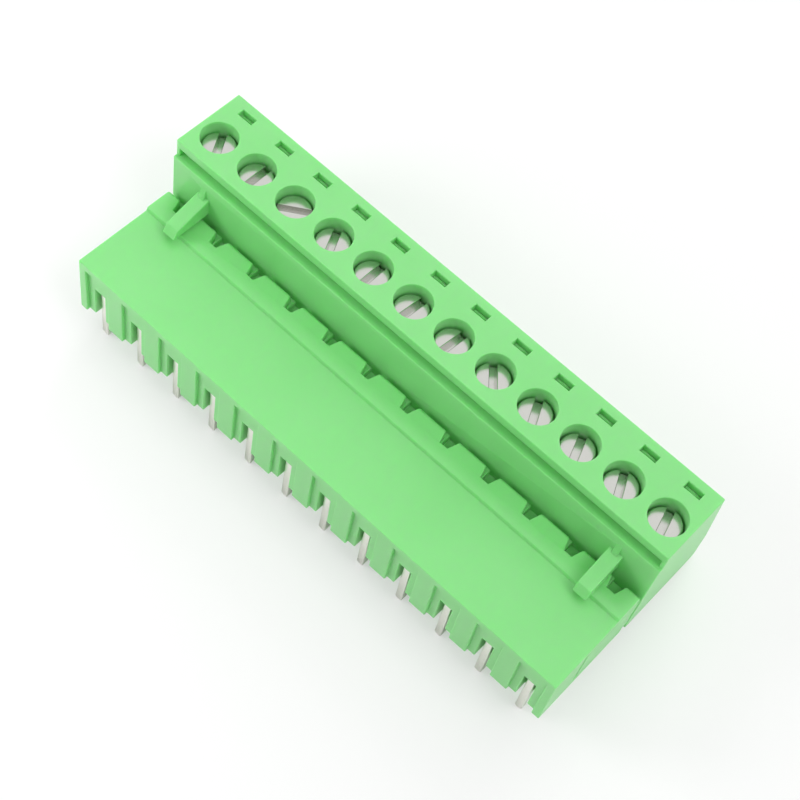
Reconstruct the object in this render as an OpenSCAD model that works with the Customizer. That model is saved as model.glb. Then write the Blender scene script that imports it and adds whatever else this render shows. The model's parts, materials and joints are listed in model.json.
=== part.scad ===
// Pluggable terminal block: a right-angle pin header with open ends for a circuit board,
// and the screw plug that sits in it and takes one wire at each pole.
// X runs along the row, +Y points out of the wire side and Z = 0 is the board's face.
// X = 0 is the middle of the row and Y = 0 the row of solder pins.

/* [Row] */
// Number of poles
poles = 12; // [2:1:14]
// Distance from one pole to the next
pitch = 5.08; // [5:0.02:6.5]

/* [Header housing] */
// Depth of the header from its rear edge to its mouth
header_depth = 12; // [11.6:0.1:14]
// Distance of the rear edge behind the solder pins
rear_overhang = 1.3; // [1.1:0.05:1.6]
// Height of the flat top above the board
header_h = 7.9; // [7.6:0.1:8.6]
// Thickness of the top plate
plate_t = 1; // [0.8:0.05:1.1]
// Thickness of the floor
floor_t = 1.15; // [0.9:0.05:1.3]
// Depth of the cavity behind the mouth
cavity_depth = 7.4; // [6.8:0.1:7.8]
// Width of the raised latch ridge along the mouth
ridge_w = 3.2; // [2.6:0.05:3.6]
// Height of the ridge over the flat top
ridge_rise = 0.4; // [0.2:0.05:0.6]
// Slant of the ridge's rear face over its height
ridge_slant = 0.15; // [0.05:0.05:0.4]
// Radius of the ridge's edge at the mouth
mouth_round = 0.45; // [0.2:0.05:0.6]
// Amount by which the header stays short of the plug at each end
end_relief = 0.12; // [0.05:0.01:0.3]

/* [Rear of the header] */
// Width of the open slot that each solder pin stands in
slot_w = 1.4; // [1.2:0.05:1.8]
// Width of the raised pad between two slots
pad_w = 2; // [1.6:0.05:2.4]
// Height of the pads over the shoulders beside them
pad_rise = 0.4; // [0.2:0.05:0.6]
// Depth that a pin slot keeps behind the pin
slot_back = 0.15; // [0.1:0.05:0.6]

/* [Coding notches] */
// Depth of a notch in the ridge
notch_depth = 1.45; // [1:0.05:2]
// Width at the bottom of a notch
notch_floor_w = 0.95; // [0.6:0.05:1.2]
// Width of a notch at the mouth
notch_mouth_w = 1.8; // [1.5:0.05:2.2]
// Radius of the two corners at the mouth
notch_round = 0.25; // [0.1:0.05:0.35]
// Width of the coding groove in the plug's nose under each notch
groove_w = 1.2; // [0.9:0.05:1.5]
// Depth of a coding groove
groove_d = 0.7; // [0.4:0.05:0.8]

/* [Header pins] */
// Side of the square pin
pin_w = 0.8; // [0.7:0.05:0.9]
// Height of the mating pins above the board
pin_z = 3.85; // [3.7:0.05:4]
// Length that stands out below the board's face
solder_l = 3.9; // [3:0.1:4.5]
// Distance of the mating tip behind the mouth
pin_setback = 1.7; // [1:0.1:3]
// Inside radius of the right-angle bend
pin_bend = 0.3; // [0.2:0.05:0.4]
// Side of the flat end at a pin's tip
pin_tip_w = 0.4; // [0.3:0.05:0.6]
// Length of the taper to the tip
pin_tip_l = 0.7; // [0.4:0.05:1]

/* [Plug housing] */
// Height of the plug
plug_h = 15; // [14.6:0.1:17]
// Height of the plug's underside above the board
plug_lift = 0.4; // [0.2:0.05:0.8]
// Gap between the header's mouth and the plug's wall
wall_gap = 0.5; // [0.3:0.05:0.9]
// Set-back of the top lip from the wall below it
lip_back = 0.4; // [0.2:0.05:0.7]
// Height of the top lip
lip_h = 1.1; // [0.9:0.05:1.4]
// Height of the marker groove under the lip
rail_h = 1.1; // [0.8:0.05:1.4]
// Depth of the marker groove behind the lip's face
rail_d = 0.6; // [0.4:0.05:0.8]
// Amount by which the foot stands out past the top on the wire side
foot_reach = 2.1; // [1.5:0.1:3]
// Height of the upright face of the foot
foot_h = 4.6; // [3:0.1:6]
// Radius of the lower edge of the foot
foot_round = 0.8; // [0.4:0.1:1]
// Gap left between the plug's nose and the end of the header's cavity
nose_gap = 0.5; // [0.3:0.05:0.8]
// Clearance of the nose over and under
nose_clear = 0.08; // [0.05:0.01:0.15]
// Thickness of the wall at the nose's tip
nose_tip_t = 0.8; // [0.6:0.05:1]
// Clearance round a pin in the square hole at the nose's tip
pin_hole_clear = 0.25; // [0.15:0.05:0.35]

/* [Latch fingers] */
// Distance from the plug's end to the middle of a finger
finger_inset = 4.24; // [3.8:0.02:5]
// Width of a finger
finger_w = 1.55; // [1.2:0.05:2]
// Reach of a finger from the plug's wall
finger_reach = 4.7; // [4.2:0.05:5.2]
// Height of a finger's underside over the ridge it reaches across
finger_lift = 0.45; // [0.2:0.05:0.8]
// Height of a finger at its root
finger_root_h = 2.25; // [1.9:0.05:2.6]
// Height of a finger at its tip
finger_tip_h = 1.05; // [0.8:0.05:1.5]
// Slant of the face at the tip
finger_slant = 0.55; // [0.2:0.05:0.8]
// Width of the web that stiffens the root
web_w = 0.65; // [0.5:0.05:1.2]
// Reach of the web's foot from the plug's wall
web_l = 0.8; // [0.6:0.05:1.2]
// Height of the web over the root
web_h = 1.2; // [0.8:0.05:1.5]

/* [Clamping screws] */
// Distance from the lip's face to the screw's axis
screw_back = 3.2; // [3:0.05:3.6]
// Diameter of a screw's head
head_d = 3.5; // [3.3:0.05:3.6]
// Height of a screw's head
head_h = 1.6; // [1.3:0.05:1.8]
// Clearance round a screw's head in its hole
head_clear = 0.15; // [0.08:0.01:0.25]
// Depth of the head under the plug's top
head_recess = 1.3; // [1:0.05:1.6]
// Diameter of the thread
thread_d = 3; // [2.5:0.05:3]
// Width of the driver slot
driver_w = 0.75; // [0.6:0.05:0.9]
// Depth of the driver slot
driver_d = 0.9; // [0.6:0.05:1.1]

/* [Wire cages] */
// Width of a cage across the row
cage_w = 4; // [3.9:0.05:4.1]
// Length of a cage along the wire
cage_l = 5; // [4.4:0.1:5.2]
// Thickness of a cage's floor
cage_floor_t = 0.9; // [0.7:0.05:1.1]
// Thickness of the threaded top of a cage
cage_top_t = 1.8; // [1.5:0.05:2]
// Room for the wire when the cage is all the way down
wire_room = 3.2; // [2.8:0.05:3.4]
// Clearance of a cage in its chamber
cage_clear = 0.1; // [0.05:0.01:0.12]

/* [Contacts] */
// Width of a contact
contact_w = 2.2; // [1.8:0.05:2.4]
// Thickness of the tongue that the screw bears on
tongue_t = 0.7; // [0.5:0.05:0.8]
// Height of the tongue's top over the pin's axis
tongue_rise = 2.95; // [2.8:0.05:3]
// Thickness of a spring beam
beam_t = 0.4; // [0.3:0.05:0.45]
// Distance of a beam's root from the pin's axis
beam_root = 1.25; // [1.1:0.05:1.3]
// Distance of a beam's flared tip from the pin's axis
beam_flare = 1.1; // [0.95:0.05:1.2]

/* [Wire cover] */
// Width of a latch window in the plug's top and bottom
window_w = 1.8; // [1.4:0.05:2.2]
// Length of a latch window
window_l = 0.8; // [0.6:0.05:0.9]
// Distance from a screw's axis to the middle of its window
window_run = 3.75; // [3.5:0.05:4.2]
// Distance from the middle of a window to the wire side's top edge
window_back = 1.35; // [1.2:0.05:1.8]
// Depth of a latch nib under the plug's face
nib_depth = 0.8; // [0.5:0.05:0.9]
// Thickness of the top wall over the cover
cover_roof_t = 1.8; // [1.6:0.05:2]
// Width of a wire funnel at the face
funnel_w = 4.1; // [3.6:0.05:4.3]
// Width of a wire funnel at its inner end
funnel_throat_w = 2.9; // [2.4:0.05:3]
// Thickness of a funnel's collar
collar_t = 0.4; // [0.3:0.05:0.5]
// Clearance of the cover in the plug
cover_clear = 0.03; // [0.02:0.01:0.06]

/* [Hidden] */
$fn = 32;

// Angle at which each screw's slot was left, from the first pole on
SLOT_ANGLES = [120, 90, 35, 115, 90, 85, 85, 130, 115, 110, 115, 105];

housing_green = "#5fc864";
zinc = "#d8d8d2";
tinned = "#cfcac0";
copper_alloy = "#d9b36a";

eps = 0.01;           // overlap that keeps joined solids joined
contact_gap = 0.02;   // gap of a spring beam to the pin
bear_gap = 0.05;      // gap of parts that bear on each other
thread_clear = 0.05;  // clearance of a screw in its cage
clamp_gap = 0.2;      // what is left of the wire's room when a cage is all the way up

// Header
plug_l = poles * pitch;
header_l = plug_l - 2 * end_relief;
rear_y = -rear_overhang;
mouth_y = header_depth - rear_overhang;
shoulder_y = rear_y + pad_rise;
cavity_y = mouth_y - cavity_depth;
ceiling_z = header_h - plate_t;
ridge_z = header_h + ridge_rise;
slot_y = pin_w / 2 + slot_back;
slot_z = pin_z + pin_w / 2 + bear_gap;
pin_end_y = mouth_y - pin_setback;

// Plug
wall_y = mouth_y + wall_gap;
lip_y = wall_y + lip_back;
plug_z = plug_lift + plug_h;
foot_z = plug_lift + foot_h;
screw_y = lip_y + screw_back;
window_y = screw_y + window_run;
top_y = window_y + window_back;
foot_y = top_y + foot_reach;
hole_d = head_d + 2 * head_clear;
chamber_w = cage_w + 2 * cage_clear;
partition_t = pitch - chamber_w;
nose_y = cavity_y + nose_gap;
nose_z0 = floor_t + nose_clear;
nose_z1 = ceiling_z - nose_clear;
inner_y = screw_y - cage_l / 2 - cage_clear;
pin_hole_w = pin_w + 2 * pin_hole_clear;

// Screw, cage and contact
head_z1 = plug_z - head_recess;
head_z0 = head_z1 - head_h;
chamber_top_z = head_z0 + cage_clear;
tongue_z1 = pin_z + tongue_rise;
tongue_z0 = tongue_z1 - tongue_t;
cage_room_z = tongue_z0 - wire_room;
cage_z0 = cage_room_z - cage_floor_t;
cage_block_z = tongue_z1 + 2 * clamp_gap;
cage_z1 = cage_block_z + cage_top_t;
cage_y1 = screw_y + cage_l / 2;
cage_side_t = (cage_w - thread_d) / 2 - thread_clear;
chamber_z = cage_z0 - bear_gap;
stem_y = inner_y - tongue_t;
channel_w = contact_w + 2 * cage_clear;
channel_half_h = beam_root + beam_t;
beam_y = nose_y + nose_tip_t + 3 * beam_t;
flare_y = beam_y - 2 * beam_t;
tongue_y = cage_y1 + cage_clear;

// Wire cover
cover_z0 = chamber_z;
cover_z1 = plug_z - cover_roof_t;
cover_y = window_y + window_l / 2 - cover_clear;
plate_y = window_y - window_l / 2;
wire_z = (cage_room_z + tongue_z0) / 2;
cover_l = plug_l - partition_t;

function unit(v) = v / norm(v);
function pole_x(k) = (k - (poles + 1) / 2) * pitch;
function numbered(name, k) = str(name, k < 10 ? "_0" : "_", k);
function numbered_all(name) = [for (k = [1:poles]) numbered(name, k)];
function screw_angle(k) = SLOT_ANGLES[(k - 1) % len(SLOT_ANGLES)];

// Outlines drawn as [y, z] and run along X over a length
module along_x(length) {
    rotate([90, 0, 90]) linear_extrude(length, center = true) children();
}

// What a corner loses when it is rounded: the corner's point, its two edges' directions, the radius
module corner_waste(point, edge_a, edge_b, r) {
    a = unit(edge_a);
    b = unit(edge_b);
    half = acos(a * b) / 2;
    run = r / tan(half);
    centre = point + unit(a + b) * r / sin(half);
    difference() {
        polygon([point - (a + b) * eps, point + a * run, centre, point + b * run]);
        translate(centre) circle(r);
    }
}

// Square bar end that tapers to its tip, standing on Z = 0 and pointing along +Z
module tapered_tip(w, tip_w, length) {
    outline = [[-w / 2, -eps], [w / 2, -eps], [w / 2, 0], [tip_w / 2, length],
        [-tip_w / 2, length], [-w / 2, 0]];
    intersection() {
        rotate([90, 0, 0]) linear_extrude(w, center = true) polygon(outline);
        rotate([90, 0, 90]) linear_extrude(w, center = true) polygon(outline);
    }
}

// ---- Header housing: one extruded section with an open mouth, slots, pads and notches

module header_section() {
    difference() {
        polygon([
            [shoulder_y, 0], [mouth_y, 0], [mouth_y, floor_t], [cavity_y, floor_t],
            [cavity_y, ceiling_z], [mouth_y, ceiling_z], [mouth_y, ridge_z],
            [mouth_y - ridge_w + ridge_slant, ridge_z], [mouth_y - ridge_w, header_h],
            [rear_y, header_h], [rear_y, ceiling_z], [shoulder_y, ceiling_z]]);
        corner_waste([mouth_y, ridge_z], [-1, 0], [0, -1], mouth_round);
    }
}

module notch() {
    side = [notch_floor_w - notch_mouth_w, -2 * notch_depth];
    translate([0, mouth_y, ceiling_z - eps]) linear_extrude(plate_t + ridge_rise + 2 * eps) {
        polygon([
            [-notch_mouth_w / 2, 0], [-notch_mouth_w / 2, eps], [notch_mouth_w / 2, eps],
            [notch_mouth_w / 2, 0], [notch_floor_w / 2, -notch_depth],
            [-notch_floor_w / 2, -notch_depth]]);
        for (flip = [0, 1]) mirror([flip, 0])
            corner_waste([notch_mouth_w / 2, 0], [1, 0], side, notch_round);
    }
}

module pin_slot() {
    translate([-slot_w / 2, rear_y - eps, -eps])
        cube([slot_w, slot_y - rear_y + eps, slot_z + eps]);
    translate([-pin_w / 2, 0, pin_z - pin_w / 2]) cube([pin_w, cavity_y + eps, pin_w]);
}

module rear_pad(x) {
    translate([x - pad_w / 2, rear_y, 0]) cube([pad_w, pad_rise + eps, ceiling_z + eps]);
}

module header_housing() {
    color(housing_green) difference() {
        union() {
            along_x(header_l) header_section();
            for (k = [1:poles - 1]) rear_pad(pole_x(k) + pitch / 2);
            intersection() {
                for (k = [0, poles]) rear_pad(pole_x(k) + pitch / 2);
                translate([-header_l / 2, rear_y, 0]) cube([header_l, header_depth, header_h]);
            }
        }
        for (k = [1:poles]) translate([pole_x(k), 0, 0]) {
            pin_slot();
            notch();
        }
    }
}

// ---- Header pin: square wire bent at a right angle, with both tips tapered

module pin_bend_section() {
    half = pin_w / 2;
    difference() {
        union() {
            translate([-half, -solder_l + pin_tip_l])
                square([pin_w, solder_l - pin_tip_l + pin_z + half]);
            translate([-half, pin_z - half]) square([pin_end_y - pin_tip_l + half, pin_w]);
            translate([half - eps, pin_z - half - pin_bend]) square([pin_bend + eps, pin_bend + eps]);
        }
        translate([half + pin_bend, pin_z - half - pin_bend]) circle(pin_bend);
        corner_waste([-half, pin_z + half], [1, 0], [0, -1], pin_bend + pin_w / 2);
    }
}

module header_pin(k) {
    color(tinned) translate([pole_x(k), 0, 0]) {
        along_x(pin_w) pin_bend_section();
        translate([0, 0, pin_tip_l - solder_l]) mirror([0, 0, 1])
            tapered_tip(pin_w, pin_tip_w, pin_tip_l);
        translate([0, pin_end_y - pin_tip_l, pin_z]) rotate([-90, 0, 0])
            tapered_tip(pin_w, pin_tip_w, pin_tip_l);
    }
}

// ---- Plug housing: the moulded body, its nose and the two latch fingers

module plug_section() {
    difference() {
        polygon([
            [wall_y, plug_lift], [foot_y, plug_lift], [foot_y, foot_z], [top_y, plug_z],
            [lip_y, plug_z], [lip_y, plug_z - lip_h - rail_h], [wall_y, plug_z - lip_h - rail_h]]);
        corner_waste([foot_y, plug_lift], [-1, 0], [0, 1], foot_round);
    }
}

module nose_section() {
    chamfer = nose_gap / 2;
    polygon([
        [wall_y + eps, nose_z0], [wall_y + eps, nose_z1], [nose_y + chamfer, nose_z1],
        [nose_y, nose_z1 - chamfer], [nose_y, nose_z0 + chamfer], [nose_y + chamfer, nose_z0]]);
}

module marker_rail() {
    z0 = plug_z - lip_h - rail_h;
    translate([-cover_l / 2, wall_y - eps, z0]) cube([cover_l, lip_back + rail_d + eps, rail_h]);
    for (side = [-1, 1]) translate([side * plug_l / 2, 0, 0]) mirror([side > 0 ? 1 : 0, 0, 0])
        translate([-eps, wall_y - eps, z0])
            cube([partition_t / 2 + 2 * eps, lip_back + eps, rail_h + lip_h + eps]);
}

// One pole's inside: chamber, contact channel, screw hole, windows and coding groove
module pole_cavity() {
    translate([-chamber_w / 2, inner_y, chamber_z])
        cube([chamber_w, plate_y - inner_y + eps, chamber_top_z - chamber_z]);
    translate([-contact_w / 2, stem_y, pin_z - channel_half_h])
        cube([contact_w, tongue_t + eps, tongue_rise + channel_half_h]);
    translate([-channel_w / 2, nose_y + nose_tip_t, pin_z - channel_half_h])
        cube([channel_w, stem_y - nose_y - nose_tip_t + eps, 2 * channel_half_h]);
    translate([-pin_hole_w / 2, nose_y - eps, pin_z - pin_hole_w / 2])
        cube([pin_hole_w, nose_tip_t + 2 * eps, pin_hole_w]);
    translate([0, screw_y, chamber_top_z - eps]) cylinder(d = hole_d, h = plug_z - chamber_top_z + 2 * eps);
    translate([-window_w / 2, plate_y, cover_z1 - eps]) cube([window_w, window_l, cover_roof_t + 2 * eps]);
    translate([-window_w / 2, plate_y, plug_lift - eps])
        cube([window_w, window_l, chamber_z - plug_lift + 2 * eps]);
    translate([-groove_w / 2, nose_y - eps, nose_z1 - groove_d])
        cube([groove_w, wall_y - nose_y + eps, groove_d + eps]);
}

module latch_finger() {
    z0 = ridge_z + finger_lift;
    tip_y = wall_y - finger_reach;
    along_x(finger_w) polygon([
        [wall_y + eps, z0], [tip_y, z0], [tip_y + finger_slant, z0 + finger_tip_h],
        [wall_y + eps, z0 + finger_root_h]]);
    along_x(web_w) polygon([
        [wall_y + eps, z0 + finger_tip_h], [wall_y - web_l, z0 + finger_tip_h],
        [wall_y + eps, z0 + finger_root_h + web_h]]);
}

module plug_housing() {
    color(housing_green) {
        difference() {
            union() {
                along_x(plug_l) plug_section();
                along_x(header_l) nose_section();
            }
            for (k = [1:poles]) translate([pole_x(k), 0, 0]) pole_cavity();
            marker_rail();
            translate([-cover_l / 2, plate_y, cover_z0])
                cube([cover_l, foot_y - plate_y + eps, cover_z1 - cover_z0]);
        }
        for (side = [-1, 1]) translate([side * (plug_l / 2 - finger_inset), 0, 0]) latch_finger();
    }
}

// ---- Wire cover: the strip with the wire funnels, held by nibs that snap into the windows

module cover_section() {
    lean = (foot_y - top_y) / (plug_z - foot_z);
    z0 = cover_z0 + cover_clear;
    z1 = cover_z1 - cover_clear;
    polygon([
        [plate_y, z0], [foot_y, z0], [foot_y, foot_z],
        [foot_y - lean * (z1 - foot_z), z1], [plate_y, z1]]);
}

// Hollow that narrows along -Y from the outer face to the cage
module funnel() {
    w = funnel_w / 2;
    t = funnel_throat_w / 2;
    collar_y = cage_y1 + cage_clear;
    intersection() {
        translate([0, 0, wire_z - w]) linear_extrude(2 * w)
            polygon([[-w, foot_y + eps], [w, foot_y + eps], [w, foot_y], [t, plate_y], [t, collar_y - eps],
                [-t, collar_y - eps], [-t, plate_y], [-w, foot_y]]);
        along_x(2 * w)
            polygon([[foot_y + eps, wire_z - w], [foot_y + eps, wire_z + w], [foot_y, wire_z + w],
                [plate_y, wire_z + t], [collar_y - eps, wire_z + t], [collar_y - eps, wire_z - t],
                [plate_y, wire_z - t], [foot_y, wire_z - w]]);
    }
}

module collar() {
    side = funnel_throat_w + 2 * collar_t;
    depth = plate_y - cage_y1 - cage_clear;
    translate([-side / 2, plate_y - depth, wire_z - side / 2])
        cube([side, depth + eps, side]);
}

// Ramp that slides under the wall and springs into the window
module nib(z_root, z_crest) {
    along_x(window_w - 2 * cover_clear)
        polygon([[plate_y, z_root], [cover_y, z_root], [cover_y, z_crest],
            [cover_y - window_l / 4, z_crest], [plate_y, z_root + (z_crest - z_root) / 4]]);
}

module wire_cover() {
    color(housing_green) {
        difference() {
            union() {
                along_x(cover_l - 2 * cover_clear) cover_section();
                for (k = [1:poles]) translate([pole_x(k), 0, 0]) collar();
            }
            for (k = [1:poles]) translate([pole_x(k), 0, 0]) funnel();
        }
        for (k = [1:poles]) translate([pole_x(k), 0, 0]) {
            nib(cover_z1 - cover_clear - eps, plug_z - nib_depth);
            nib(cover_z0 + cover_clear + eps, plug_lift + nib_depth / 2);
        }
    }
}

// ---- Clamping screw: slotted cheese head on a plain shank of the thread's size

module screw(k) {
    shank = head_z0 - tongue_z1 - bear_gap;
    point = thread_d / 8;
    color(zinc) translate([pole_x(k), screw_y, head_z0]) rotate(screw_angle(k)) difference() {
        union() {
            rotate_extrude() polygon([[0, 0], [head_d / 2, 0], [head_d / 2, head_h - point / 2],
                [head_d / 2 - point / 2, head_h], [0, head_h]]);
            rotate_extrude() polygon([[0, eps], [0, -shank], [thread_d / 2 - point, -shank],
                [thread_d / 2, -shank + point], [thread_d / 2, eps]]);
        }
        translate([-head_d / 2 - eps, -driver_w / 2, head_h - driver_d])
            cube([head_d + 2 * eps, driver_w, driver_d + eps]);
    }
}

// ---- Wire cage: a box of folded strip that the screw draws up against the contact's tongue

module wire_cage(k) {
    color(zinc) translate([pole_x(k), screw_y, 0]) difference() {
        translate([-cage_w / 2, -cage_l / 2, cage_z0]) cube([cage_w, cage_l, cage_z1 - cage_z0]);
        translate([-cage_w / 2 + cage_side_t, -cage_l / 2 - eps, cage_room_z])
            cube([cage_w - 2 * cage_side_t, cage_l + 2 * eps, cage_block_z - cage_room_z]);
        translate([0, 0, cage_block_z - eps])
            cylinder(d = thread_d + 2 * thread_clear, h = cage_top_t + 2 * eps);
    }
}

// ---- Contact: two spring beams that grip the pin, and the tongue inside the cage

// One spring beam from its grip on the pin to its flared tip; side is 1 over the pin and -1 under it
function beam_outline(side) = side * [
    pin_w / 2 + contact_gap, beam_flare - beam_t / 2, beam_flare + beam_t / 2,
    pin_w / 2 + contact_gap + beam_t];
function beam_points(side) = let (y = [beam_y, flare_y, flare_y, beam_y], z = beam_outline(side))
    [for (i = [0:3]) [y[i], z[i]]];
function backwards(points) = [for (i = [len(points) - 1:-1:0]) points[i]];

module contact(k) {
    color(copper_alloy) translate([pole_x(k), 0, 0]) along_x(contact_w) translate([0, pin_z])
        polygon(concat(
            [[inner_y, -channel_half_h], [stem_y, -channel_half_h]],
            backwards(beam_points(-1)),
            [[stem_y, -beam_root], [stem_y, beam_root]],
            beam_points(1),
            [[stem_y, channel_half_h], [stem_y, tongue_rise], [tongue_y, tongue_rise],
                [tongue_y, tongue_rise - tongue_t], [inner_y, tongue_rise - tongue_t]]));
}

header_housing();
for (k = [1:poles]) header_pin(k);
plug_housing();
wire_cover();
for (k = [1:poles]) screw(k);
for (k = [1:poles]) wire_cage(k);
for (k = [1:poles]) contact(k);
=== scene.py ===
# %% [markdown]
# # A pluggable terminal block, finished in Blender
#
# The part is a green plug with twelve clamping screws, pushed into a right-angle pin header that
# solders to a circuit board. The frame holds every piece at its real size and place, so this
# lesson only gives them their finish: soft moulded edges, plated metal, a screw thread, and the
# light of a small white studio.

# %% Load the frame and keep its box
import json
import math

import bmesh
import bpy
from mathutils import Matrix, Vector


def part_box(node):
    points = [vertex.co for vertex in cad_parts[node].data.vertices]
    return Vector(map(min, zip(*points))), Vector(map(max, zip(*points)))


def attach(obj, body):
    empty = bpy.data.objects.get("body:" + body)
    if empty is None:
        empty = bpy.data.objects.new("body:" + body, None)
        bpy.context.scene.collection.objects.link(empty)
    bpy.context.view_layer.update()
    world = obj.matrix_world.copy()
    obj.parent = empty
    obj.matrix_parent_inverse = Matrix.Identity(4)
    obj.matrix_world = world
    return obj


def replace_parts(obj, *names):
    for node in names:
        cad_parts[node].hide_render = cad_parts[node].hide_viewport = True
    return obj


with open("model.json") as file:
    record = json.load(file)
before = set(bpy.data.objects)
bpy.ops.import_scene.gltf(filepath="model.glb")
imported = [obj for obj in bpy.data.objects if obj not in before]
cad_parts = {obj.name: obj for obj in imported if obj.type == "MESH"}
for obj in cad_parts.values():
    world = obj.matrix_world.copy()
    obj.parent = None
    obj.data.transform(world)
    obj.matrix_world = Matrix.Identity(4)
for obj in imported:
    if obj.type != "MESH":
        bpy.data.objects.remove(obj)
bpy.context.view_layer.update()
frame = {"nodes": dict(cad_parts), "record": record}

# %% [markdown]
# ## Units and colours
# Blender works in metres and in linear light. Sizes here are written in millimetres and colours as
# the sRGB hex values of a paint chart, so one factor and one function turn them into what Blender
# wants. The hex values could be divided by 255 and used as they are, but then every colour would
# come out too pale.

# %% Units and colours
MM = 0.001


def linear(hex_colour):
    """The linear RGBA of an sRGB colour written as '#rrggbb'."""
    parts = [int(hex_colour[i:i + 2], 16) / 255 for i in (1, 3, 5)]
    return [c / 12.92 if c <= 0.04045 else ((c + 0.055) / 1.055) ** 2.4 for c in parts] + [1]


print("housing green in linear light:", [round(c, 3) for c in linear("#86da85")])

# %% [markdown]
# ## The viewpoint
# The block is looked down on from its pin side, with the camera rolled a little so that the row
# runs across the picture. A camera can be aimed with a Track To constraint, but a roll is simpler
# to read as three directions: right, up and back are worked out from three angles.

# %% Camera
AZIMUTH, ELEVATION, ROLL = math.radians(30.06), math.radians(59.42), math.radians(14.45)
AIM = Vector((3.66, 6.18, 15.4)) * MM
DISTANCE = 152.4 * MM


def camera_axes(azimuth, elevation, roll):
    """The camera's right, up and back directions."""
    back = Vector((math.sin(azimuth) * math.cos(elevation), -math.cos(azimuth) * math.cos(elevation),
                   math.sin(elevation)))
    level = Vector((math.cos(azimuth), math.sin(azimuth), 0))
    right = level * math.cos(roll) + back.cross(level) * math.sin(roll)
    return right, back.cross(right), back


right, up, back = camera_axes(AZIMUTH, ELEVATION, ROLL)
camera = bpy.data.objects.new("camera", bpy.data.cameras.new("camera"))
camera.data.lens = 77.1
camera.data.sensor_width = 36
camera.data.clip_start = 10 * MM
camera.matrix_world = (Matrix.Translation(AIM + back * DISTANCE)
                       @ Matrix((right, up, back)).transposed().to_4x4())
bpy.context.scene.collection.objects.link(camera)
bpy.context.scene.camera = camera
print("camera at", [round(v / MM, 1) for v in camera.matrix_world.translation], "mm")

# %% [markdown]
# ## One helper for shader nodes
# A material in code is a list of nodes and links. One small function adds a node, sets its
# values and joins its inputs, so that each material below reads from top to bottom. An input is
# named as Blender names it, or by its number after an i where several share one name.

# %% Add a shader node
def add_node(tree, kind, settings=None, **inputs):
    """Adds a node; settings are its properties, and inputs are values or sockets to join."""
    node = tree.nodes.new(kind)
    for name, value in (settings or {}).items():
        setattr(node, name, value)
    for name, value in inputs.items():
        numbered_input = name[0] == "i" and name[1:].isdigit()
        socket = node.inputs[int(name[1:]) if numbered_input else name.replace("_", " ")]
        if isinstance(value, bpy.types.NodeSocket):
            tree.links.new(value, socket)
        else:
            socket.default_value = value
    return node


def new_material(name):
    """An empty node material and its tree."""
    material = bpy.data.materials.new(name)
    material.use_nodes = True
    material.node_tree.nodes.clear()
    return material, material.node_tree


def noise(tree, size_mm, detail):
    """Noise in the object's own space, with features of about the size given."""
    place = add_node(tree, "ShaderNodeTexCoord")
    return add_node(tree, "ShaderNodeTexNoise", Vector=place.outputs["Object"],
                    Scale=1 / (size_mm * MM), Detail=detail).outputs["Fac"]


# %% [markdown]
# ## Moulded polyamide
# The housings are polyamide, injection moulded and coloured right through. It is slightly
# translucent, so light that enters at an edge or a thin wall comes out again a deeper green, and
# its skin has the faint satin grain of a spark-eroded mould. Subsurface scattering gives that
# depth; a fine noise gives the grain and a broad one the slight unevenness that flow leaves. A
# flat green on a hard surface would look like paint on metal.

# %% Polyamide
def moulded_polyamide(name, hex_colour, flow_colour):
    """A green that drifts between two tones, over a faint grain and a translucent depth."""
    material, tree = new_material(name)
    # Flow of the melt: tone and gloss drift a little over about 9 mm
    flow = noise(tree, 9, 3.0)
    tone = add_node(tree, "ShaderNodeMix", {"data_type": "RGBA"},
                    i0=flow, i6=linear(hex_colour), i7=linear(flow_colour))
    gloss = add_node(tree, "ShaderNodeMapRange", Value=flow, To_Min=0.28, To_Max=0.38)
    # Grain of the mould: real grain is about 0.05 mm across and is drawn coarser, or it would
    # be finer than the picture can show
    grain = add_node(tree, "ShaderNodeBump", Strength=0.12, Distance=0.03 * MM,
                     Height=noise(tree, 0.25, 4.0))
    shader = add_node(tree, "ShaderNodeBsdfPrincipled", Base_Color=tone.outputs[2],
                      Roughness=gloss.outputs[0], Normal=grain.outputs[0], IOR=1.53,
                      Subsurface_Weight=0.7, Subsurface_Radius=(0.35, 1.0, 0.3),
                      Subsurface_Scale=0.7 * MM)
    add_node(tree, "ShaderNodeOutputMaterial", Surface=shader.outputs[0])
    return material


POLYAMIDE = moulded_polyamide("green_polyamide_spark_eroded_grain", "#86da85", "#90e08f")
print("made", POLYAMIDE.name)

# %% [markdown]
# ## Plated metals
# Screws and cages are steel with bright zinc: a pale, nearly neutral mirror that mottles where the
# crystals of the plate differ. Pins and contacts are copper alloy with matt tin, which is warmer
# and blurs what it reflects. Both are one recipe with another colour, roughness and grain. Real
# plate has no scratches to speak of, so only roughness and a very shallow bump vary.

# %% Zinc and tin
def plated_metal(name, hex_colour, roughness, grain_mm):
    """A mirror of one colour whose sharpness varies with the grain of the plate."""
    material, tree = new_material(name)
    grain = noise(tree, grain_mm, 5.0)
    rough = add_node(tree, "ShaderNodeMapRange", Value=grain, To_Min=roughness * 0.7,
                     To_Max=roughness * 1.3)
    mottle = add_node(tree, "ShaderNodeBump", Strength=0.1, Distance=0.02 * MM, Height=grain)
    shader = add_node(tree, "ShaderNodeBsdfPrincipled", Base_Color=linear(hex_colour), Metallic=1.0,
                      Roughness=rough.outputs[0], Normal=mottle.outputs[0])
    add_node(tree, "ShaderNodeOutputMaterial", Surface=shader.outputs[0])
    return material


# Bright zinc: sharp light edges beside dark reflections of the hole
ZINC = plated_metal("bright_zinc_electroplate", "#d2d2cd", 0.2, 0.4)
# Matt tin: an even, pale, slightly warm grey that takes the tone of the paper
TIN = plated_metal("matt_tin_electroplate", "#f1ede8", 0.32, 0.5)
print("made", ZINC.name, "and", TIN.name)

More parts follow.
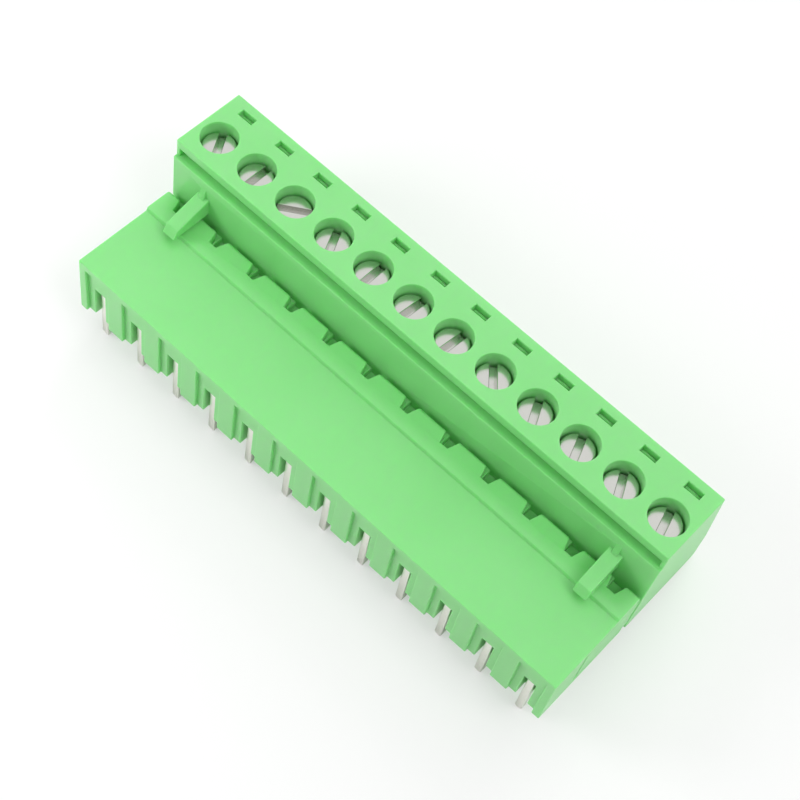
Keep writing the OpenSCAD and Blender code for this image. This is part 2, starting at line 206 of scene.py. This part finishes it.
# %% [markdown]
# ## Finishes on the CAD nodes
# Every node gets the finish that its record names. The pieces made further down stand in for the
# nodes and take the same finishes, so the table below is the only place where they are matched.

# %% Dress the CAD nodes
FINISH_OF_SLOT = {"housing_plastic": POLYAMIDE, "zinc_steel": ZINC,
                  "tinned_brass": TIN, "contact_bronze": TIN}
slot_of = {part["node"]: part["material_slot"] for part in frame["record"]["subparts"]}
body_of = {node: body for body, nodes in frame["record"]["behaviour"]["bodies"].items()
           for node in nodes}
for name, node in frame["nodes"].items():
    node.data.materials.clear()
    node.data.materials.append(FINISH_OF_SLOT[slot_of[name]])
print("dressed", len(frame["nodes"]), "nodes")


def numbered(kind):
    """The names of the CAD nodes of one kind, in order."""
    return sorted(name for name in frame["nodes"] if name.startswith(kind + "_"))


def stand_in(name, mesh, node, place=Matrix.Identity(4)):
    """An object that stands for a CAD node, with that node's finish and body."""
    piece = bpy.data.objects.new(name, mesh)
    bpy.context.scene.collection.objects.link(piece)
    piece.matrix_world = place
    mesh.materials.clear()
    mesh.materials.append(FINISH_OF_SLOT[slot_of[node]])
    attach(piece, body_of[node])
    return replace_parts(piece, node)


# %% [markdown]
# ## Meshes from bmesh
# Small turned and folded pieces are easiest to describe as rows of points, which bmesh keeps while
# faces are laid between them. A hole or a slot is then cut with a Boolean modifier. It is applied
# at once, so the cutter can be thrown away and one mesh can be shared by all twelve poles.

# %% Mesh helpers
def mesh_from(name, build):
    """A new mesh filled by build(bm), with shared corners merged and faces turned outwards."""
    bm = bmesh.new()
    build(bm)
    bmesh.ops.remove_doubles(bm, verts=bm.verts, dist=0.001 * MM)
    bmesh.ops.recalc_face_normals(bm, faces=bm.faces)
    mesh = bpy.data.meshes.new(name)
    bm.to_mesh(mesh)
    bm.free()
    return mesh


def bridge(bm, low, high):
    """Faces between two closed rows of as many points."""
    for i in range(len(low)):
        j = (i + 1) % len(low)
        bm.faces.new([low[i], low[j], high[j], high[i]])


def prism(bm, low, high):
    """A closed solid between two rows of points (x, y, z)."""
    ends = [[bm.verts.new(point) for point in row] for row in (low, high)]
    bridge(bm, *ends)
    for end in ends:
        bm.faces.new(end)


def applied(mesh, kind, **settings):
    """The mesh with one modifier applied."""
    holder = bpy.data.objects.new("holder", mesh)
    bpy.context.scene.collection.objects.link(holder)
    modifier = holder.modifiers.new(kind, kind)
    for name, value in settings.items():
        setattr(modifier, name, value)
    graph = bpy.context.evaluated_depsgraph_get()
    result = bpy.data.meshes.new_from_object(holder.evaluated_get(graph))
    result.name = mesh.name
    bpy.data.objects.remove(holder)
    return result


def cut(mesh, build):
    """The mesh less the closed shape that build(bm) makes."""
    cutter = bpy.data.objects.new("cutter", mesh_from("cutter", build))
    bpy.context.scene.collection.objects.link(cutter)
    result = applied(mesh, "BOOLEAN", operation="DIFFERENCE", solver="EXACT", object=cutter)
    bpy.data.objects.remove(cutter)
    return result


def smooth_by_angle(mesh, degrees):
    """Shades the mesh smooth, but keeps edges sharper than the angle crisp."""
    mesh.shade_smooth()
    mesh.set_sharp_from_angle(angle=math.radians(degrees))
    return mesh


# %% [markdown]
# ## Soft edges on moulded and sheared pieces
# No moulded edge is knife sharp: the mould's own corners are rounded by about a tenth of a
# millimetre, and that narrow round catches the light and draws the outline of every face. The
# frame's meshes have sharp edges, so each piece is copied, its flat faces are joined up again and
# its outward edges get a Bevel modifier. Inward corners stay sharp: a round there would be in
# shade, and would cost as many faces again. Two rounds wider than the face between them would fold
# it over itself, so the shallow steps behind the header's pins and the thin wire cover keep their
# edges. Only faces that belong to a curve, such as a hole's wall, are shaded smooth; flat ones stay
# flat, because smoothing would smear the bevel's light across them.

# %% Softened stand-ins
HOUSING_ROUND, PIN_ROUND, CONTACT_ROUND = 0.1 * MM, 0.06 * MM, 0.05 * MM
STEPS_BEHIND_PINS = (0.2 * MM, 1.0 * MM)
WELD = 0.002 * MM


def softened(node, width, above=40, sharp=(0, 0)):
    """The mesh of a CAD node with its outward edges rounded, save those between the sharp depths."""
    bm = bmesh.new()
    bm.from_mesh(frame["nodes"][node].data)
    bmesh.ops.remove_doubles(bm, verts=bm.verts, dist=WELD)
    bmesh.ops.dissolve_limit(bm, angle_limit=math.radians(1), verts=bm.verts, edges=bm.edges)
    for face in bm.faces:
        face.smooth = any(1 < math.degrees(edge.calc_face_angle(0)) < above for edge in face.edges)
    outward = bm.edges.layers.float.new("bevel_weight_edge")
    for edge in bm.edges:
        left = all(sharp[0] < corner.co.y < sharp[1] for corner in edge.verts)
        turns = math.degrees(edge.calc_face_angle(0)) > above
        edge[outward] = edge.is_convex and turns and not left
    mesh = bpy.data.meshes.new("soft_" + node)
    bm.to_mesh(mesh)
    bm.free()
    return applied(mesh, "BEVEL", width=width, segments=2, limit_method="WEIGHT",
                   use_clamp_overlap=False)


for node, sharp in (("header_housing", STEPS_BEHIND_PINS), ("plug_housing", (0, 0))):
    mesh = softened(node, HOUSING_ROUND, sharp=sharp)
    stand_in("moulded_" + node, mesh, node)
    print(node, len(mesh.polygons), "faces")
for kind, width in (("header_pin", PIN_ROUND), ("contact", CONTACT_ROUND)):
    for node in numbered(kind):
        mesh = softened(node, width)
        stand_in("sheared_" + node, mesh, node)
    print(kind, len(mesh.polygons), "faces each")

# %% [markdown]
# ## The clamping screws
# Each pole has a captive M3 screw: a cheese head with a straight slot, turned from steel and
# zinc plated, on a thread of 0.5 mm pitch. The head is a lathe shape. The thread is the same lathe
# shape with its rows climbing by one pitch a turn, which needs only one formula and keeps the
# screw a single closed mesh. Coils made with a Screw modifier would have to be joined to the core.

# %% Screw
THREAD_PITCH = 0.5 * MM
THREAD_DEPTH = 0.61 * THREAD_PITCH
ROUND = 48
HEAD_H, HEAD_ROUND, SHANK_R = 1.6 * MM, 0.22 * MM, 1.5 * MM
TIP_H, TIP_R = 0.3 * MM, 1.1 * MM
SLOT_W, SLOT_DEPTH, SLOT_EDGE = 0.75 * MM, 0.9 * MM, 0.05 * MM
screw_low, screw_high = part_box("screw_01")
HEAD_R = (screw_high.x - screw_low.x) / 2


def at(radius, turn, z):
    """The point at a radius and a part of a turn round the screw's axis."""
    return radius * math.cos(math.tau * turn), radius * math.sin(math.tau * turn), z


def ring(bm, radius, z):
    return [bm.verts.new(at(radius, i / ROUND, z)) for i in range(ROUND)]


def thread(bm, crest, z0, z1):
    """Rows that climb one pitch a turn and run out to the root at both ends; the end rows."""
    root = crest - THREAD_DEPTH
    rows = []
    for m in range(-4, math.ceil((z1 - z0) / THREAD_PITCH * 4) + 1):
        height = (0, 0.5, 1, 0.5)[m % 4]
        row = []
        for i in range(ROUND):
            z = min(max(z0 + (m / 4 + i / ROUND) * THREAD_PITCH, z0), z1)
            run_out = min((z - z0) / THREAD_PITCH, (z1 - z) / THREAD_PITCH)
            row.append(bm.verts.new(at(root + THREAD_DEPTH * min(height, run_out), i / ROUND, z)))
        rows.append(row)
    for m in range(len(rows) - 1):
        for i in range(ROUND - 1):
            bm.faces.new([rows[m][i], rows[m][i + 1], rows[m + 1][i + 1], rows[m + 1][i]])
        # Where a turn closes, the rows join those of the turn above
        next_turn = [rows[min(m + step, len(rows) - 1)][0] for step in (4, 5)]
        bm.faces.new(list(dict.fromkeys([rows[m][-1], *next_turn, rows[m + 1][-1]])))
    return rows[0], rows[-1]


def screw_shape(bm):
    top, under = screw_high.z, screw_high.z - HEAD_H
    first, last = thread(bm, SHANK_R, screw_low.z + TIP_H, under)
    tip = ring(bm, TIP_R, screw_low.z)
    bm.faces.new(tip)
    bridge(bm, tip, first)
    rim = ring(bm, HEAD_R, under)
    bridge(bm, last, rim)
    for step in range(5):
        turn = math.radians(90) * step / 4
        above = ring(bm, HEAD_R - HEAD_ROUND * (1 - math.cos(turn)),
                     top - HEAD_ROUND * (1 - math.sin(turn)))
        bridge(bm, rim, above)
        rim = above
    bm.faces.new(rim)


def driver_slot(bm):
    """A bar along X that flares at the top, so that it leaves a chamfer along the slot."""
    half, flared = SLOT_W / 2, SLOT_W / 2 + SLOT_EDGE
    outline = [(-half, -SLOT_DEPTH), (half, -SLOT_DEPTH), (half, -SLOT_EDGE), (flared, 0),
               (flared, HEAD_H), (-flared, HEAD_H), (-flared, 0), (-half, -SLOT_EDGE)]
    reach = HEAD_R + 0.2 * MM
    prism(bm, *([(x, y, screw_high.z + z) for y, z in outline] for x in (-reach, reach)))


def slot_angle(node):
    """The direction in which a CAD screw's slot points, from the corners of the slot's floor."""
    centre = sum(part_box(node), Vector()) / 2
    floor_z = screw_high.z - SLOT_DEPTH
    floor = [v.co - centre for v in frame["nodes"][node].data.vertices
             if abs(v.co.z - floor_z) < 0.01 * MM]
    return 0.5 * math.atan2(sum(2 * p.x * p.y for p in floor),
                            sum(p.x ** 2 - p.y ** 2 for p in floor))


screw_mesh = smooth_by_angle(cut(mesh_from("slotted_screw", screw_shape), driver_slot), 35)
for node in numbered("screw"):
    centre = sum(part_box(node), Vector()) / 2
    stand_in("slotted_" + node, screw_mesh, node,
             Matrix.Translation((centre.x, centre.y, 0)) @ Matrix.Rotation(slot_angle(node), 4, "Z"))
print("screw:", len(screw_mesh.polygons), "faces")

# %% [markdown]
# ## The wire cages
# Under each screw sits a cage folded from zinc plated steel strip. The screw pulls it up, so that
# its floor squeezes the wire against the tongue of the contact. Folding leaves round corners, the
# ends of the strip lie on each other at the top, and the floor is pressed with teeth across the
# wire. A plain box with a hole would miss all three, so the cage is a section with round corners,
# repeated along the wire's direction, whose floor rises and falls from row to row.

# %% Cage
CAGE_SIDE, CAGE_FLOOR, CAGE_TOP = 0.45 * MM, 0.9 * MM, 1.8 * MM
TOOTH, TOOTH_DEPTH = 0.5 * MM, 0.12 * MM
BEND_OUTSIDE, BEND_INSIDE = 0.5 * MM, 0.3 * MM
SEAM, SEAM_DEPTH, SEAM_STOP = 0.06 * MM, 0.25 * MM, 0.6 * MM
THREAD_CLEARANCE = 0.05 * MM
cage_low, cage_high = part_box("wire_cage_01")
CAGE_HALF_W, CAGE_HALF_L = (cage_high.x - cage_low.x) / 2, (cage_high.y - cage_low.y) / 2


def rounded_rectangle(half_w, z0, z1, radius, steps=5):
    """Points (x, z) round a rectangle with round corners, from its lower right corner on."""
    inner = half_w - radius
    corners = [(inner, z0 + radius), (inner, z1 - radius), (-inner, z1 - radius), (-inner, z0 + radius)]
    points = []
    for quarter, (x, z) in enumerate(corners):
        for step in range(steps + 1):
            turn = math.radians(90) * (quarter - 1 + step / steps)
            points.append((x + radius * math.cos(turn), z + radius * math.sin(turn)))
    return points


def cage_shape(bm):
    room_z = cage_low.z + CAGE_FLOOR
    outer = rounded_rectangle(CAGE_HALF_W, cage_low.z, cage_high.z, BEND_OUTSIDE)
    inner = rounded_rectangle(CAGE_HALF_W - CAGE_SIDE, room_z, cage_high.z - CAGE_TOP, BEND_INSIDE)
    teeth = int((2 * CAGE_HALF_L - MM) / TOOTH)
    stations = [(-CAGE_HALF_L, 0)] + [((i - teeth) * TOOTH / 2, -TOOTH_DEPTH * (i % 2))
                                      for i in range(2 * teeth + 1)] + [(CAGE_HALF_L, 0)]
    rows = []
    for y, dip in stations:
        pressed = [(x, z + dip if z < room_z + 0.01 * MM else z) for x, z in inner]
        rows.append(([bm.verts.new((x, y, z)) for x, z in outer],
                     [bm.verts.new((x, y, z)) for x, z in pressed]))
    for (outer_a, inner_a), (outer_b, inner_b) in zip(rows, rows[1:]):
        bridge(bm, outer_a, outer_b)
        bridge(bm, inner_a, inner_b)
    for outer_row, inner_row in (rows[0], rows[-1]):
        bridge(bm, outer_row, inner_row)


def thread_hole(bm):
    """Where the screw passes the top of the cage; its own thread stays hidden round the screw."""
    radius = SHANK_R + THREAD_CLEARANCE
    prism(bm, *([at(radius, i / ROUND, z) for i in range(ROUND)]
                for z in (cage_high.z - CAGE_TOP - MM / 2, cage_high.z + MM / 2)))


def strip_seam(bm):
    """The slit between the two layers of the top, open at both ends and at one side."""
    w, length, reach = CAGE_HALF_W, CAGE_HALF_L, MM
    stop = w - SEAM_STOP
    outline = [(-w - reach, -length - reach), (stop, -length - reach), (stop, SEAM_DEPTH - length),
               (SEAM_DEPTH - w, SEAM_DEPTH - length), (SEAM_DEPTH - w, length - SEAM_DEPTH),
               (stop, length - SEAM_DEPTH), (stop, length + reach), (-w - reach, length + reach)]
    middle = cage_high.z - CAGE_TOP / 2
    prism(bm, *([(x, y, middle + side * SEAM / 2) for x, y in outline] for side in (-1, 1)))


cage_mesh = cut(cut(mesh_from("folded_cage", cage_shape), thread_hole), strip_seam)
smooth_by_angle(cage_mesh, 35)
for node in numbered("wire_cage"):
    centre = sum(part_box(node), Vector()) / 2
    stand_in("folded_" + node, cage_mesh, node, Matrix.Translation((centre.x, centre.y, 0)))
print("cage:", len(cage_mesh.polygons), "faces")

# %% [markdown]
# ## White paper
# The block has no board under it, so it tips forward until the pins' tips and the rear edge of the
# plug's foot both touch the table. The part keeps its own frame, and the paper leans instead, by
# the angle worked out from those two points. The paper should vanish but keep the block's shadow:
# it is real white paper to the light, and only what the camera sees of it is lifted towards white.

# %% Floor
pins_low, pins_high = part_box("header_pin_01")
TIP_Y = 0.2 * MM
FOOT_BEYOND_Y = 12 * MM
PAPER_HALF = 2000 * MM
LIFTED_TO_WHITE = 0.4
foot = [v.co for v in frame["nodes"]["plug_housing"].data.vertices if v.co.y > FOOT_BEYOND_Y]
lean = min(math.atan2(p.z - pins_low.z, p.y - TIP_Y) for p in foot)
corners = [(-PAPER_HALF, -PAPER_HALF, 0), (PAPER_HALF, -PAPER_HALF, 0),
           (PAPER_HALF, PAPER_HALF, 0), (-PAPER_HALF, PAPER_HALF, 0)]
floor = bpy.data.objects.new("floor", mesh_from(
    "paper", lambda bm: bm.faces.new([bm.verts.new(corner) for corner in corners])))
floor.matrix_world = Matrix.Translation((0, TIP_Y, pins_low.z)) @ Matrix.Rotation(lean, 4, "X")
bpy.context.scene.collection.objects.link(floor)

paper, tree = new_material("white_paper_uncoated")
sheet = add_node(tree, "ShaderNodeBsdfPrincipled", Base_Color=linear("#fafafa"), Roughness=0.8)
white = add_node(tree, "ShaderNodeEmission", Color=linear("#ffffff"), Strength=1.0)
ray = add_node(tree, "ShaderNodeLightPath")
lifted = add_node(tree, "ShaderNodeMath", {"operation": "MULTIPLY"},
                  i0=ray.outputs["Is Camera Ray"], i1=LIFTED_TO_WHITE)
blend = add_node(tree, "ShaderNodeMixShader", i0=lifted.outputs[0], i1=sheet.outputs[0],
                 i2=white.outputs[0])
add_node(tree, "ShaderNodeOutputMaterial", Surface=blend.outputs[0])
floor.data.materials.append(paper)
print("paper leans", round(math.degrees(lean), 2), "degrees")

# %% [markdown]
# ## Light
# Small products are lit in a white tent: lamps stand outside, the cloth spreads their light and is
# itself what shiny parts reflect. The tent is the world, bright to the camera and in reflections but
# dimmer as a light, so that slots and holes still go dark. The lamps give light but are not seen in
# reflections, because they stand behind the cloth. Three shine from above and behind, so the tops
# come out brightest and the walls towards the viewer a step darker. A small low one near the left
# end lifts those walls there and fades along the row. Together they give a flat top about the light
# that its colour asks for.

# %% Lamps and tent
TENT_AS_LIGHT = 0.46


def softbox(name, place_mm, size_mm, watts):
    """A square lamp that faces the block; it lights but is not seen in reflections."""
    lamp = bpy.data.lights.new(name, "AREA")
    lamp.shape, lamp.size, lamp.energy = "SQUARE", size_mm * MM, watts
    box = bpy.data.objects.new(name, lamp)
    box.location = Vector(place_mm) * MM
    box.rotation_euler = box.location.to_track_quat("Z", "Y").to_euler()
    box.visible_glossy = False
    bpy.context.scene.collection.objects.link(box)


softbox("overhead", (0, 100, 450), 400, 0.45)
softbox("left_front", (-110, -75, 80), 60, 0.0755)
softbox("back_top", (-100, 450, 450), 300, 0.75)
softbox("right_top", (350, 0, 500), 250, 1.0)

tent = bpy.data.worlds.new("tent")
bpy.context.scene.world = tent
tent.use_nodes = True
tree = tent.node_tree
tree.nodes.clear()
ray = add_node(tree, "ShaderNodeLightPath")
seen = add_node(tree, "ShaderNodeMath", {"operation": "MAXIMUM"}, i0=ray.outputs["Is Camera Ray"],
                i1=ray.outputs["Is Glossy Ray"])
glow = add_node(tree, "ShaderNodeBackground", Color=linear("#ffffff"), Strength=TENT_AS_LIGHT)
wall = add_node(tree, "ShaderNodeBackground", Color=linear("#ffffff"), Strength=1.0)
both = add_node(tree, "ShaderNodeMixShader", i0=seen.outputs[0], i1=glow.outputs[0],
                i2=wall.outputs[0])
add_node(tree, "ShaderNodeOutputWorld", Surface=both.outputs[0])
bpy.context.scene.view_settings.view_transform = "Standard"
print("lamps:", [lamp.name for lamp in bpy.data.lights])
